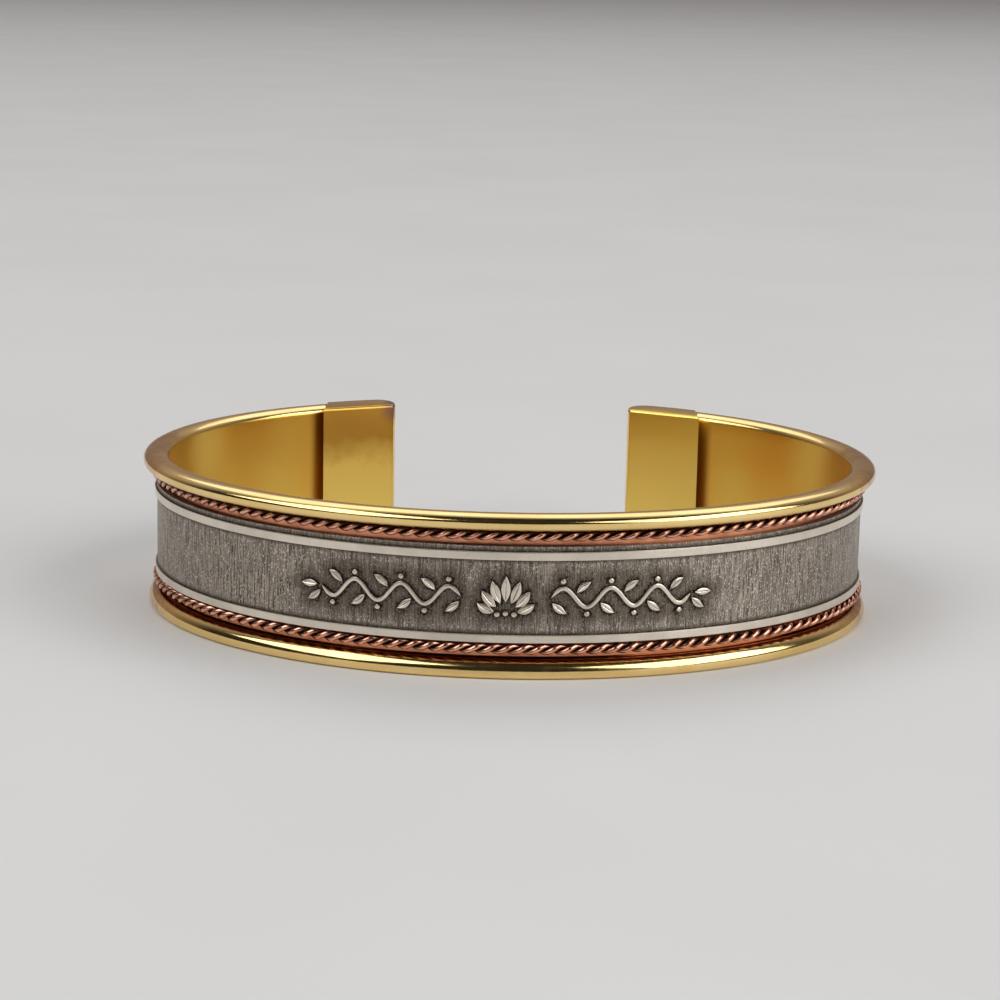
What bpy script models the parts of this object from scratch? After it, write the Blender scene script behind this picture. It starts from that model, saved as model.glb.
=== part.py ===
"""Open cuff bracelet (kada) of brass, copper and silver-coloured metal, lying on its lower rim.

A brass channel band is bent to an oval and left open at the back, where a brass block closes
each end. In the channel lie a flat copper strip, a patterned silver strip and two twisted
copper wires, one along each rim. Lengths are in metres, +Z is up and the front faces -Y.
"""

import math

import bmesh
import bpy
import numpy as np

MM = 0.001

# Plan of the cuff, measured to the face of the silver strip
HALF_WIDTH = 32.0 * MM
HALF_DEPTH = 26.0 * MM
END_GAP = 23.0 * MM
CAP_WIDTH = 6.8 * MM

# Heights
CUFF_HEIGHT = 13.9 * MM
TOP_RIM_HEIGHT = 1.35 * MM
BOTTOM_RIM_HEIGHT = 1.55 * MM
BARE_COPPER_HEIGHT = 0.45 * MM
BOTTOM_GROOVE_HEIGHT = 0.45 * MM
LOWER_BORDER_HEIGHT = 0.7 * MM
UPPER_BORDER_HEIGHT = 0.75 * MM
TOP_MARGIN_HEIGHT = 0.4 * MM

# Thicknesses, and how far things stand out past the silver face
WALL_THICKNESS = 0.3 * MM
COPPER_THICKNESS = 0.15 * MM
SILVER_THICKNESS = 0.65 * MM
FIELD_DEPTH = 0.18 * MM
TOP_RIM_STAND = 1.0 * MM
BOTTOM_RIM_STAND = 0.55 * MM
CLEARANCE = 0.1 * MM

# Twisted wires, each of two strands
ROPE_DIAMETER = 0.9 * MM
ROPE_PITCH = 2.6 * MM

# Roundings
TOP_RIM_OUTER_ROUND = 0.45 * MM
TOP_RIM_UNDER_ROUND = 0.5 * MM
BOTTOM_RIM_OUTER_ROUND = 0.45 * MM
BOTTOM_RIM_UPPER_ROUND = 0.75 * MM
INNER_EDGE_ROUND = 0.35 * MM
BORDER_DRAFT = 0.05 * MM

# End caps
CAP_STEP = 1.0 * MM
CAP_TIP_OUTER_ROUND = 1.8 * MM
CAP_TIP_INNER_ROUND = 0.6 * MM
CAP_EDGE_ROUND = 0.3 * MM

# Raised ornament in the middle of the silver strip
VINE_START = 3.7 * MM
VINE_WAVES = 3
VINE_WAVE_LENGTH = 4.0 * MM
VINE_SWING = 0.8 * MM
VINE_STROKE = 0.36 * MM
LEAF_LENGTH = 1.5 * MM
LEAF_WIDTH = 0.62 * MM
LEAF_SPACE = 0.42 * MM
LEAF_LEAN = 50
LEAF_CURL = 25
PETAL_LENGTH = 2.2 * MM
PETAL_WIDTH = 0.8 * MM
PETAL_SPREAD = 27
PETAL_SHORTENING = 0.09
PETAL_CURL = 12
LOTUS_HUB = 0.95 * MM
LOTUS_DROP = 1.35 * MM
DOT_DIAMETER = 0.44 * MM

# Fineness of the meshes
SPANS = 57
ROPE_RINGS_PER_TURN = 7
ROUND_STEPS = 3

# Places worked out from the sizes above, as offsets outward from the silver face
ROPE_RADIUS = ROPE_DIAMETER / 2
FIELD_FACE = -FIELD_DEPTH
SILVER_BACK = -SILVER_THICKNESS
COPPER_FACE = SILVER_BACK - CLEARANCE
COPPER_BACK = COPPER_FACE - COPPER_THICKNESS
WALL_FACE = COPPER_BACK - CLEARANCE
INSIDE = WALL_FACE - WALL_THICKNESS
ROPE_OFFSET = COPPER_FACE + CLEARANCE + ROPE_RADIUS

# Heights worked out from the sizes above
GROOVE_TOP = CUFF_HEIGHT - TOP_RIM_HEIGHT
BOTTOM_ROPE_HEIGHT = BOTTOM_RIM_HEIGHT + BOTTOM_GROOVE_HEIGHT + ROPE_RADIUS
TOP_ROPE_HEIGHT = GROOVE_TOP - CLEARANCE - ROPE_RADIUS
SILVER_BOTTOM = BOTTOM_ROPE_HEIGHT + ROPE_RADIUS + CLEARANCE
SILVER_TOP = TOP_ROPE_HEIGHT - ROPE_RADIUS - BARE_COPPER_HEIGHT
FIELD_BOTTOM = SILVER_BOTTOM + LOWER_BORDER_HEIGHT
FIELD_TOP = SILVER_TOP - TOP_MARGIN_HEIGHT - UPPER_BORDER_HEIGHT
FIELD_MIDDLE = (FIELD_BOTTOM + FIELD_TOP) / 2

# Where the band ends and the caps begin, to each side of the middle
TIP_X = END_GAP / 2
CAP_X = TIP_X + CAP_WIDTH
BAND_END_X = CAP_X + CLEARANCE


def clear_scene():
    """Removes what the scene holds, so that the script can run again."""
    for old in list(bpy.data.objects):
        bpy.data.objects.remove(old, do_unlink=True)


def make_material(name, colour, roughness, metallic=1.0):
    """Makes a plain Principled material."""
    material = bpy.data.materials.new(name)
    material.use_nodes = True
    shader = material.node_tree.nodes["Principled BSDF"]
    shader.inputs["Base Color"].default_value = (*colour, 1.0)
    shader.inputs["Roughness"].default_value = roughness
    shader.inputs["Metallic"].default_value = metallic
    material.diffuse_color = (*colour, 1.0)
    return material


def outward(angle):
    """Gives the outward direction of the oval at an angle from its front."""
    across = HALF_DEPTH * math.sin(angle)
    along = -HALF_WIDTH * math.cos(angle)
    size = math.hypot(across, along)
    return across / size, along / size


def plan_point(angle, offset):
    """Gives the point of the oval at an angle from its front, moved outward by offset."""
    across, along = outward(angle)
    x = HALF_WIDTH * math.sin(angle) + offset * across
    y = -HALF_DEPTH * math.cos(angle) + offset * along
    return x, y


def back_angle(x, offset):
    """Finds the angle on the back right of the oval where the offset curve crosses x."""
    low = math.pi / 2
    high = math.pi
    for _ in range(60):
        middle = (low + high) / 2
        if plan_point(middle, offset)[0] > x:
            low = middle
        else:
            high = middle
    return (low + high) / 2


def arc(centre, radius, start, end, steps=ROUND_STEPS):
    """Gives points on an arc of a section, with its angles in degrees."""
    points = []
    for step in range(steps + 1):
        angle = math.radians(start + (end - start) * step / steps)
        points.append((centre[0] + radius * math.cos(angle), centre[1] + radius * math.sin(angle)))
    return points


def add_object(name, mesh, material, smooth_angle=40.0):
    """Turns a bmesh into a named object with its material, faces outward."""
    bmesh.ops.recalc_face_normals(mesh, faces=mesh.faces)
    data = bpy.data.meshes.new(name)
    mesh.to_mesh(data)
    mesh.free()
    data.materials.append(material)
    data.shade_smooth()
    data.set_sharp_from_angle(angle=math.radians(smooth_angle))
    item = bpy.data.objects.new(name, data)
    bpy.context.scene.collection.objects.link(item)
    return item


def join_rings(mesh, rings):
    """Joins a row of equal rings of vertices with faces and closes both ends."""
    for ring, following in zip(rings, rings[1:]):
        count = len(ring)
        for index in range(count):
            after = (index + 1) % count
            mesh.faces.new((ring[index], ring[after], following[after], following[index]))
    mesh.faces.new(rings[0][::-1])
    mesh.faces.new(rings[-1])


def sweep(name, section, material):
    """Runs a closed section of (offset, height) points along the oval, cut square at both ends."""
    mesh = bmesh.new()
    end_angles = [back_angle(BAND_END_X, offset) for offset, _ in section]
    rings = []
    for step in range(SPANS + 1):
        share = 2 * step / SPANS - 1
        ring = []
        for (offset, height), end_angle in zip(section, end_angles):
            x, y = plan_point(share * end_angle, offset)
            ring.append(mesh.verts.new((x, y, height)))
        rings.append(ring)
    join_rings(mesh, rings)
    return add_object(name, mesh, material)


def band_section():
    """Gives the channel's section: both rims, the wall between them and its plain inside."""
    low = BOTTOM_RIM_OUTER_ROUND
    high = BOTTOM_RIM_UPPER_ROUND
    under = TOP_RIM_UNDER_ROUND
    over = TOP_RIM_OUTER_ROUND
    inner = INNER_EDGE_ROUND
    points = arc((BOTTOM_RIM_STAND - low, low), low, -90, 0)
    points += arc((BOTTOM_RIM_STAND - high, BOTTOM_RIM_HEIGHT - high), high, 0, 90)
    points += [(WALL_FACE, BOTTOM_RIM_HEIGHT), (WALL_FACE, GROOVE_TOP)]
    points += arc((TOP_RIM_STAND - under, GROOVE_TOP + under), under, -90, 0)
    points += arc((TOP_RIM_STAND - over, CUFF_HEIGHT - over), over, 0, 90)
    points += arc((INSIDE + inner, CUFF_HEIGHT - inner), inner, 90, 180)
    points += arc((INSIDE + inner, inner), inner, 180, 270)
    return points


def copper_section():
    """Gives the flat strip's section, between the two rims."""
    low = BOTTOM_RIM_HEIGHT + CLEARANCE
    high = GROOVE_TOP - CLEARANCE
    return [(COPPER_BACK, low), (COPPER_FACE, low), (COPPER_FACE, high), (COPPER_BACK, high)]


def silver_section():
    """Gives the patterned strip's section: two raised borders and the field between them."""
    border_bottom = FIELD_TOP
    border_top = SILVER_TOP - TOP_MARGIN_HEIGHT
    return [
        (SILVER_BACK, SILVER_BOTTOM),
        (0.0, SILVER_BOTTOM),
        (0.0, FIELD_BOTTOM - BORDER_DRAFT),
        (FIELD_FACE, FIELD_BOTTOM),
        (FIELD_FACE, border_bottom),
        (0.0, border_bottom + BORDER_DRAFT),
        (0.0, border_top - BORDER_DRAFT),
        (FIELD_FACE, border_top),
        (FIELD_FACE, SILVER_TOP),
        (SILVER_BACK, SILVER_TOP),
    ]


def length_table(offset, end_angle):
    """Gives angles along an offset curve and the length from the front to each of them."""
    angles = np.linspace(-end_angle, end_angle, 2001)
    points = np.array([plan_point(angle, offset) for angle in angles])
    chords = np.hypot(*np.diff(points, axis=0).T)
    lengths = np.concatenate([[0.0], np.cumsum(chords)])
    return angles, lengths - lengths[-1] / 2


def rope_section():
    """Gives the outline of two strands side by side, three points round the outside of each."""
    strand = ROPE_RADIUS / 2
    points = []
    for side in (0, 180):
        for turn in (-60, 0, 60):
            angle = math.radians(side + turn)
            centre = strand * math.cos(math.radians(side))
            points.append((centre + strand * math.cos(angle), strand * math.sin(angle)))
    return points


def make_rope(name, height, material):
    """Makes a wire of two twisted strands that lies on the copper strip at a height."""
    end_x = BAND_END_X + ROPE_RADIUS
    angles, lengths = length_table(ROPE_OFFSET, back_angle(end_x, ROPE_OFFSET))
    count = round((lengths[-1] - lengths[0]) / ROPE_PITCH * ROPE_RINGS_PER_TURN)
    mesh = bmesh.new()
    rings = []
    for length in np.linspace(lengths[0], lengths[-1], count + 1):
        angle = float(np.interp(length, lengths, angles))
        x, y = plan_point(angle, ROPE_OFFSET)
        across, along = outward(angle)
        twist = 2 * math.pi * length / ROPE_PITCH
        ring = []
        for a, b in rope_section():
            out = a * math.cos(twist) - b * math.sin(twist)
            rise = a * math.sin(twist) + b * math.cos(twist)
            ring.append(mesh.verts.new((x + out * across, y + out * along, height + rise)))
        rings.append(ring)
    join_rings(mesh, rings)
    return add_object(name, mesh, material, 75.0)


def round_corner(before, corner, after, radius):
    """Gives the points of an arc that rounds a corner of a plan outline."""
    corner = np.array(corner)
    to_before = np.array(before) - corner
    to_after = np.array(after) - corner
    to_before /= np.linalg.norm(to_before)
    to_after /= np.linalg.norm(to_after)
    half = math.acos(float(np.dot(to_before, to_after))) / 2
    bisector = to_before + to_after
    bisector /= np.linalg.norm(bisector)
    centre = corner + bisector * radius / math.sin(half)
    start = corner + to_before * radius / math.tan(half) - centre
    end = corner + to_after * radius / math.tan(half) - centre
    turn = math.pi - 2 * half
    points = []
    for step in range(2 * ROUND_STEPS + 1):
        share = step / (2 * ROUND_STEPS)
        mix = start * math.sin((1 - share) * turn) + end * math.sin(share * turn)
        points.append(tuple(centre + mix / math.sin(turn)))
    return points


def wall_point(x, offset):
    """Gives the point on the back right where an offset curve crosses x."""
    return plan_point(back_angle(x, offset), offset)


def cap_outline():
    """Gives the right cap from above: curved outside, flat inside, both ends cut along Y."""
    outside = []
    curved = CAP_WIDTH - CAP_TIP_OUTER_ROUND
    for step in range(ROUND_STEPS + 1):
        outside.append(wall_point(CAP_X - curved * step / ROUND_STEPS, TOP_RIM_STAND))
    wall_at_step = wall_point(CAP_X, INSIDE)
    wall_at_tip = wall_point(TIP_X, INSIDE)
    slope = math.atan2(wall_at_tip[1] - wall_at_step[1], CAP_WIDTH)
    drop = CAP_STEP / math.cos(slope)
    step_inner = (CAP_X, wall_at_step[1] - drop)
    tip_inner = (TIP_X, wall_at_tip[1] - drop)
    tip_outer = (TIP_X, wall_point(TIP_X, TOP_RIM_STAND)[1])
    outline = outside[:-1]
    outline += round_corner(outside[-2], tip_outer, tip_inner, CAP_TIP_OUTER_ROUND)
    outline += round_corner(tip_outer, tip_inner, step_inner, CAP_TIP_INNER_ROUND)
    outline.append(step_inner)
    return outline


def make_cap(name, side, material):
    """Makes a solid end block, the right one for side 1 and its mirror image for side -1."""
    mesh = bmesh.new()
    rings = []
    for height in (0.0, CUFF_HEIGHT):
        rings.append([mesh.verts.new((side * x, y, height)) for x, y in cap_outline()])
    join_rings(mesh, rings)
    level = []
    for edge in mesh.edges:
        if edge.verts[0].co.z == edge.verts[1].co.z:
            level.append(edge)
    bmesh.ops.bevel(mesh, geom=level, offset=CAP_EDGE_ROUND, segments=2, profile=0.5, affect="EDGES")
    return add_object(name, mesh, material)


def ribbon(path, widths):
    """Gives both sides of a raised stroke: pairs of points, or one point where it is pointed."""
    stations = []
    for index, (point, width) in enumerate(zip(path, widths)):
        before = path[max(index - 1, 0)]
        after = path[min(index + 1, len(path) - 1)]
        along = (after[0] - before[0], after[1] - before[1])
        size = math.hypot(*along)
        side = (-along[1] / size * width / 2, along[0] / size * width / 2)
        if width == 0:
            stations.append([point])
        else:
            left = (point[0] + side[0], point[1] + side[1])
            right = (point[0] - side[0], point[1] - side[1])
            stations.append([left, right])
    return stations


def leaf(start, direction, length, width, curl=0.0):
    """Gives a pointed leaf from start, with its direction in degrees and a bend to its tip."""
    path = [start]
    heading = math.radians(direction)
    for _ in range(4):
        x, y = path[-1]
        path.append((x + length / 4 * math.cos(heading), y + length / 4 * math.sin(heading)))
        heading += math.radians(curl) / 3
    return ribbon(path, [0, 0.75 * width, width, 0.7 * width, 0])


def dot(centre):
    """Gives a small six-sided dot."""
    radius = DOT_DIAMETER / 2
    half = radius * math.cos(math.radians(60))
    path = [(centre[0] + x, centre[1]) for x in (-radius, -half, half, radius)]
    width = 2 * radius * math.sin(math.radians(60))
    return ribbon(path, [0, width, width, 0])


def lotus():
    """Gives an open lotus of seven petals, with dots below it."""
    strokes = []
    base = -LOTUS_DROP
    for number in range(-3, 4):
        direction = 90 - PETAL_SPREAD * number
        angle = math.radians(direction)
        start = (LOTUS_HUB * math.cos(angle), base + LOTUS_HUB * math.sin(angle))
        length = PETAL_LENGTH * (1 - PETAL_SHORTENING * abs(number))
        strokes.append(leaf(start, direction, length, PETAL_WIDTH, PETAL_CURL * number))
    for place in (-1, 0, 1):
        strokes.append(dot((place * 1.6 * DOT_DIAMETER, base - 0.2 * abs(place) * DOT_DIAMETER)))
    return strokes


def vine(side):
    """Gives a waving stem with a leaf at each crossing and a dot in each bay, on one side."""
    strokes = []
    length = VINE_WAVES * VINE_WAVE_LENGTH
    steps = 8 * VINE_WAVES
    path = []
    widths = []
    for step in range(steps + 1):
        turn = 2 * math.pi * step / 8
        path.append((side * (VINE_START + length * step / steps), VINE_SWING * math.sin(turn)))
        widths.append(0 if step in (0, steps) else VINE_STROKE)
    strokes.append(ribbon(path, widths))
    for number in range(2 * VINE_WAVES + 1):
        crossing = VINE_START + number * VINE_WAVE_LENGTH / 2
        swing = -1 if number % 2 == 0 else 1
        lift = LEAF_LEAN * swing
        angle = lift if side > 0 else 180 - lift
        start_x = side * (crossing + 0.3 * LEAF_SPACE)
        start = (start_x, swing * LEAF_SPACE)
        strokes.append(leaf(start, angle, LEAF_LENGTH, LEAF_WIDTH, -LEAF_CURL * swing * side))
    for number in range(2 * VINE_WAVES):
        bay = VINE_START + (number + 0.5) * VINE_WAVE_LENGTH / 2
        swing = 1 if number % 2 == 0 else -1
        strokes.append(dot((side * bay, swing * (VINE_SWING + VINE_STROKE + DOT_DIAMETER / 2))))
    end = VINE_START + length + LEAF_SPACE
    outward_angle = 0 if side > 0 else 180
    strokes.append(leaf((side * end, 0.0), outward_angle, LEAF_LENGTH, LEAF_WIDTH))
    return strokes


def relief_point(mesh, place, offset, table):
    """Puts a point of the ornament on the strip: place is (length from the front, height)."""
    angles, lengths = table
    angle = float(np.interp(place[0], lengths, angles))
    x, y = plan_point(angle, offset)
    return mesh.verts.new((x, y, FIELD_MIDDLE + place[1]))


def add_stroke(mesh, stations, table):
    """Adds one stroke of the ornament as a closed prism that stands out of the field."""
    root = 2 * FIELD_FACE
    layers = []
    for offset in (root, 0.0):
        layer = []
        for station in stations:
            layer.append([relief_point(mesh, place, offset, table) for place in station])
        layers.append(layer)
    for layer in layers:
        for first, second in zip(layer, layer[1:]):
            mesh.faces.new(first + second[::-1])
    for row in (0, -1):
        for index in range(len(stations) - 1):
            under, over = layers
            corners = [under[index][row], under[index + 1][row]]
            corners += [over[index + 1][row], over[index][row]]
            mesh.faces.new(corners)
    for index in (0, -1):
        under, over = layers[0][index], layers[1][index]
        if len(under) == 2:
            mesh.faces.new((under[0], under[1], over[1], over[0]))


def make_ornament(material):
    """Makes the solid of all raised strokes, which is joined to the silver strip."""
    mesh = bmesh.new()
    table = length_table(0.0, math.pi / 2)
    for stations in lotus() + vine(-1) + vine(1):
        add_stroke(mesh, stations, table)
    ornament = add_object("ornament_guide", mesh, material)
    ornament.hide_render = True
    ornament.display_type = "WIRE"
    return ornament


def make_silver_strip(material):
    """Makes the patterned strip with its borders and its raised ornament in one piece."""
    strip = sweep("silver_strip", silver_section(), material)
    join = strip.modifiers.new("ornament", "BOOLEAN")
    join.operation = "UNION"
    join.solver = "EXACT"
    join.object = make_ornament(material)
    return strip


def main():
    clear_scene()
    brass = make_material("polished_brass", (0.72, 0.50, 0.17), 0.12)
    copper = make_material("copper", (0.62, 0.27, 0.15), 0.22)
    wire = make_material("copper_wire", (0.66, 0.30, 0.18), 0.2)
    silver = make_material("oxidised_silver", (0.42, 0.40, 0.37), 0.38)
    pieces = [
        sweep("brass_band", band_section(), brass),
        sweep("copper_strip", copper_section(), copper),
        make_silver_strip(silver),
        make_rope("rope_top", TOP_ROPE_HEIGHT, wire),
        make_rope("rope_bottom", BOTTOM_ROPE_HEIGHT, wire),
        make_cap("end_cap_left", -1, brass),
        make_cap("end_cap_right", 1, brass),
    ]
    front = -(HALF_DEPTH + TOP_RIM_STAND)
    back = max(y for _, y in cap_outline())
    kada = bpy.data.objects.new("kada", None)
    bpy.context.scene.collection.objects.link(kada)
    kada.location = (0.0, -(front + back) / 2, 0.0)
    for item in pieces + [bpy.data.objects["ornament_guide"]]:
        item.parent = kada


main()
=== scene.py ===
"""Looks of an open cuff bracelet (kada) of brass, copper and silver-coloured metal.

Every piece is rebuilt finely in place of its CAD node, from the same sizes. Metres, +Z up,
front towards -Y. Offsets are measured outward from the face of the silver strip.
"""

import math

import bpy
import numpy as np
from mathutils import Matrix, Quaternion, Vector


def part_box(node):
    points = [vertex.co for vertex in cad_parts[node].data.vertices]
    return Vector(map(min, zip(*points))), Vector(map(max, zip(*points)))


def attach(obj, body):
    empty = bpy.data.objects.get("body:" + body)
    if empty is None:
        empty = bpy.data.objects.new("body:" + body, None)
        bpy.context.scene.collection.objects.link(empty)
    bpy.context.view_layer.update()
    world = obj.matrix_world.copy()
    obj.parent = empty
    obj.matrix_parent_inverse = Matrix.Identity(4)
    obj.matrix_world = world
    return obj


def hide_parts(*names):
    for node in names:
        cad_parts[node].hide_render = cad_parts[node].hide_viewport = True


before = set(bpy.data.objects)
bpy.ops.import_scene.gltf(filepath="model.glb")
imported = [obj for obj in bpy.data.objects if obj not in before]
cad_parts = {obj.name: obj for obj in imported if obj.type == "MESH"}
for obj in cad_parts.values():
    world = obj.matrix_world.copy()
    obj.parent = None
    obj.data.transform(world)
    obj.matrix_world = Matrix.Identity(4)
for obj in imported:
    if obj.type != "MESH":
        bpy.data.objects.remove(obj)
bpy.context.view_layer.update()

MM = 0.001

# Sizes of the part that its boxes don't give
HALF_WIDTH = 32.0 * MM
HALF_DEPTH = 26.0 * MM
TOP_RIM_HEIGHT = 1.35 * MM
BOTTOM_RIM_HEIGHT = 1.55 * MM
BOTTOM_GROOVE_HEIGHT = 0.45 * MM
BARE_COPPER_HEIGHT = 0.45 * MM
LOWER_BORDER_HEIGHT = 0.7 * MM
UPPER_BORDER_HEIGHT = 0.75 * MM
TOP_MARGIN_HEIGHT = 0.4 * MM
WALL_THICKNESS = 0.3 * MM
COPPER_THICKNESS = 0.15 * MM
SILVER_THICKNESS = 0.65 * MM
FIELD_DEPTH = 0.18 * MM
TOP_RIM_STAND = 1.0 * MM
BOTTOM_RIM_STAND = 0.55 * MM
CLEARANCE = 0.1 * MM
ROPE_RADIUS = 0.45 * MM
ROPE_PITCH = 2.6 * MM
TOP_RIM_OUTER_ROUND = 0.7 * MM
TOP_RIM_CROWN_PLACE = 1.2 * MM
TOP_RIM_INNER_ROUND = 0.7 * MM
TOP_RIM_UNDER_ROUND = 0.5 * MM
BOTTOM_RIM_OUTER_ROUND = 0.45 * MM
BOTTOM_RIM_UPPER_ROUND = 0.95 * MM
INNER_EDGE_ROUND = 0.35 * MM
BORDER_EDGE = 0.02 * MM
CAP_STEP = 1.0 * MM
CAP_TIP_OUTER_ROUND = 1.8 * MM
CAP_TIP_INNER_ROUND = 0.6 * MM
CAP_EDGE_ROUND = 0.3 * MM
CAP_INNER_POINTS = 6

# Raised ornament
VINE_START = 3.7 * MM
VINE_WAVES = 3
VINE_WAVE_LENGTH = 4.0 * MM
VINE_SWING = 0.8 * MM
VINE_STROKE = 0.36 * MM
LEAF_LENGTH = 1.5 * MM
LEAF_WIDTH = 0.62 * MM
LEAF_SPACE = 0.42 * MM
LEAF_LEAN = 50
LEAF_CURL = 25
PETAL_LENGTH = 2.2 * MM
PETAL_WIDTH = 0.8 * MM
PETAL_SPREAD = 27
PETAL_SHORTENING = 0.09
PETAL_CURL = 12
LOTUS_HUB = 0.95 * MM
LOTUS_DROP = 1.35 * MM
DOT_DIAMETER = 0.44 * MM
OUTLINE_WIDTH = 0.4 * MM
HALO_WIDTH = 1.5 * MM

# How finely the meshes are made
TABLE_STATIONS = 4001
BAND_STATIONS = 520
STATIONS_PER_TWIST = 24
STRAND_SIDES = 14
ORNAMENT_REACH = 19.0 * MM
ORNAMENT_STATIONS = 381
OUTER_STATIONS = 130

# Colours of the metals and the floor
BRASS_RIM = (0.98, 0.73, 0.32)
BRASS_RIM_WARM = (0.94, 0.67, 0.27)
# Inside colours: warmer and darker than the rims, partly a painted brass-tinted reflection
BRASS_WALL = (0.80, 0.56, 0.115)
BRASS_WALL_WARM = (0.78, 0.42, 0.065)
BRASS_CAP = (0.91, 0.67, 0.165)
# Painted reflection on the upper part of the left cap's inside
BRASS_CAP_PAINTED_REFLECTION = (0.50, 0.27, 0.045)
BRASS_STAIN = (0.66, 0.38, 0.17)
# Tarnish towards the ends, partly a painted reflection of the brown surroundings
BRASS_END_TARNISH_AND_REFLECTION = (0.46, 0.175, 0.095)
BRASS_CORNER = (0.24, 0.105, 0.028)
BRASS_TIP = (0.30, 0.16, 0.13)
BRASS_PIT = (0.16, 0.09, 0.03)
# Painted shade in the channel next to the wall
BRASS_GROOVE_SHADE = (0.33, 0.12, 0.05)
COPPER_BRIGHT = (0.88, 0.38, 0.22)
COPPER_BROWN = (0.62, 0.23, 0.12)
WIRE_BRIGHT = (0.95, 0.50, 0.36)
WIRE_BROWN = (0.74, 0.33, 0.21)
# Painted shade down between the strands and on the side next to a rim
WIRE_PAINTED_SHADE = (0.05, 0.015, 0.007)
FIELD_DARK = (0.10, 0.085, 0.069)
FIELD_PALE = (0.50, 0.43, 0.36)
FIELD_CLOUD = (0.27, 0.235, 0.195)
FIELD_SPECKLE = (0.88, 0.79, 0.67)
FIELD_HALO = (0.10, 0.08, 0.06)
FIELD_OUTLINE = (0.03, 0.024, 0.017)
SILVER_BRIGHT = (0.84, 0.755, 0.64)
SILVER_WORN = (0.73, 0.655, 0.55)
SILVER_PATCH = (0.30, 0.26, 0.21)
FLOOR_TONE = (0.765, 0.765, 0.76)
FLOOR_PALE = (0.795, 0.795, 0.79)
STUDIO_DARK = (0.022, 0.019, 0.017)
STUDIO_BROWN = (0.27, 0.21, 0.175)
STUDIO_GREY = (0.56, 0.56, 0.57)

# Sizes that the frame gives
CAP_LOW, CAP_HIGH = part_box("end_cap_right")
CUFF_HEIGHT = CAP_HIGH.z
TIP_X = CAP_LOW.x
CAP_X = CAP_HIGH.x
BAND_END_X = CAP_X - 0.05 * MM

# Offsets and heights worked out from the sizes above
FIELD_FACE = -FIELD_DEPTH
SILVER_BACK = -SILVER_THICKNESS
COPPER_FACE = SILVER_BACK - CLEARANCE
COPPER_BACK = COPPER_FACE - COPPER_THICKNESS
WALL_FACE = COPPER_BACK - CLEARANCE
INSIDE = WALL_FACE - WALL_THICKNESS
ROPE_OFFSET = COPPER_FACE + CLEARANCE + ROPE_RADIUS
GROOVE_TOP = CUFF_HEIGHT - TOP_RIM_HEIGHT
BOTTOM_ROPE_HEIGHT = BOTTOM_RIM_HEIGHT + BOTTOM_GROOVE_HEIGHT + ROPE_RADIUS
TOP_ROPE_HEIGHT = GROOVE_TOP - CLEARANCE - ROPE_RADIUS
SILVER_BOTTOM = BOTTOM_ROPE_HEIGHT + ROPE_RADIUS + CLEARANCE
SILVER_TOP = TOP_ROPE_HEIGHT - ROPE_RADIUS - BARE_COPPER_HEIGHT
FIELD_BOTTOM = SILVER_BOTTOM + LOWER_BORDER_HEIGHT
FIELD_TOP = SILVER_TOP - TOP_MARGIN_HEIGHT - UPPER_BORDER_HEIGHT
FIELD_MIDDLE = (FIELD_BOTTOM + FIELD_TOP) / 2


def outward(angle):
    """Gives the outward direction of the oval at angles from its front."""
    across = HALF_DEPTH * np.sin(angle)
    along = -HALF_WIDTH * np.cos(angle)
    size = np.hypot(across, along)
    return across / size, along / size


def plan_point(angle, offset):
    """Gives points of the oval at angles from its front, moved outward by offset."""
    across, along = outward(angle)
    x = HALF_WIDTH * np.sin(angle) + offset * across
    y = -HALF_DEPTH * np.cos(angle) + offset * along
    return x, y


def back_angle(x, offset):
    """Finds the angle on the back right of the oval where the offset curve crosses x."""
    low = math.pi / 2
    high = math.pi
    for _ in range(60):
        middle = (low + high) / 2
        if plan_point(middle, offset)[0] > x:
            low = middle
        else:
            high = middle
    return (low + high) / 2


def length_table(offset, end_angle):
    """Gives angles along an offset curve and the length from the front to each of them."""
    angles = np.linspace(-end_angle, end_angle, TABLE_STATIONS)
    x, y = plan_point(angles, offset)
    lengths = np.concatenate([[0.0], np.cumsum(np.hypot(np.diff(x), np.diff(y)))])
    return angles, lengths - lengths[-1] / 2


def wall_point(x, offset):
    """Gives the point on the back right where an offset curve crosses x."""
    return plan_point(back_angle(x, offset), offset)


def round_corner(before, corner, after, radius, steps=12):
    """Gives the points of an arc that rounds a corner of a plan outline."""
    corner = np.array(corner)
    to_before = np.array(before) - corner
    to_after = np.array(after) - corner
    to_before /= np.linalg.norm(to_before)
    to_after /= np.linalg.norm(to_after)
    half = math.acos(float(np.dot(to_before, to_after))) / 2
    bisector = to_before + to_after
    bisector /= np.linalg.norm(bisector)
    centre = corner + bisector * radius / math.sin(half)
    start = corner + to_before * radius / math.tan(half) - centre
    end = corner + to_after * radius / math.tan(half) - centre
    turn = math.pi - 2 * half
    points = []
    for step in range(steps + 1):
        share = step / steps
        mix = start * math.sin((1 - share) * turn) + end * math.sin(share * turn)
        points.append(tuple(centre + mix / math.sin(turn)))
    return points


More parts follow.
